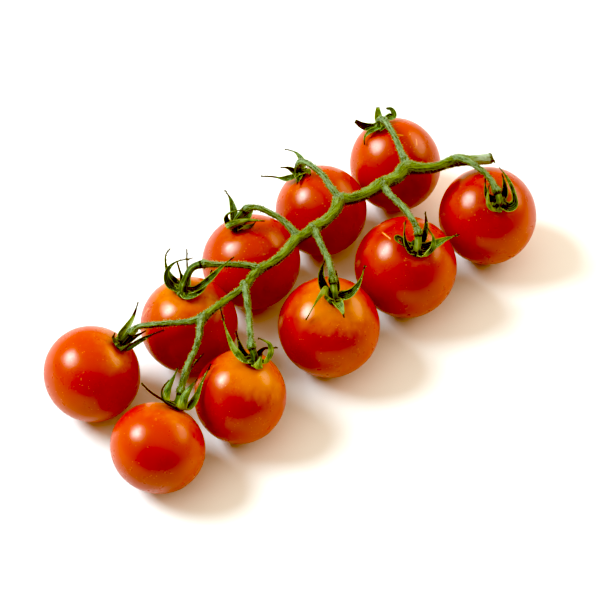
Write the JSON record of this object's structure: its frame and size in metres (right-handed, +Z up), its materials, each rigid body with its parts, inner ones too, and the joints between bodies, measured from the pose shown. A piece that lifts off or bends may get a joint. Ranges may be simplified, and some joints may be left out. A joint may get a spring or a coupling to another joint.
{
  "type": "truss of tomatoes",
  "caption": "Truss of small round red tomatoes on one zig-zag green stalk, lying on its fruit, with a snapping knuckle in each fruit's stem and curled sepals round it.",
  "frame": {"origin": "centre of the truss's outline on the surface that the fruit rest on", "axes": "+X along the stalk towards its cut end, +Z up away from the surface, +Y across the truss, to the left of someone who looks towards the cut end"},
  "size_m": [0.1776, 0.0819, 0.0441],
  "materials": {
    "tomato_skin": "glossy, ripe red going to orange round the stem",
    "stalk_skin": "matt, finely hairy yellow-green",
    "sepal_skin": "matt, finely hairy mid green with dark dried tips"
  },
  "bodies": {
    "root": {"stalk": "stalk_skin", "tomato_1": "tomato_skin", "tomato_2": "tomato_skin", "tomato_3": "tomato_skin", "tomato_4": "tomato_skin", "tomato_5": "tomato_skin", "tomato_6": "tomato_skin", "tomato_7": "tomato_skin", "tomato_8": "tomato_skin", "tomato_9": "tomato_skin", "tomato_10": "tomato_skin", "calyx_1": "sepal_skin", "calyx_2": "sepal_skin", "calyx_3": "sepal_skin", "calyx_4": "sepal_skin", "calyx_5": "sepal_skin", "calyx_6": "sepal_skin", "calyx_7": "sepal_skin", "calyx_8": "sepal_skin", "calyx_9": "sepal_skin", "calyx_10": "sepal_skin"}
  },
  "joints": []
}
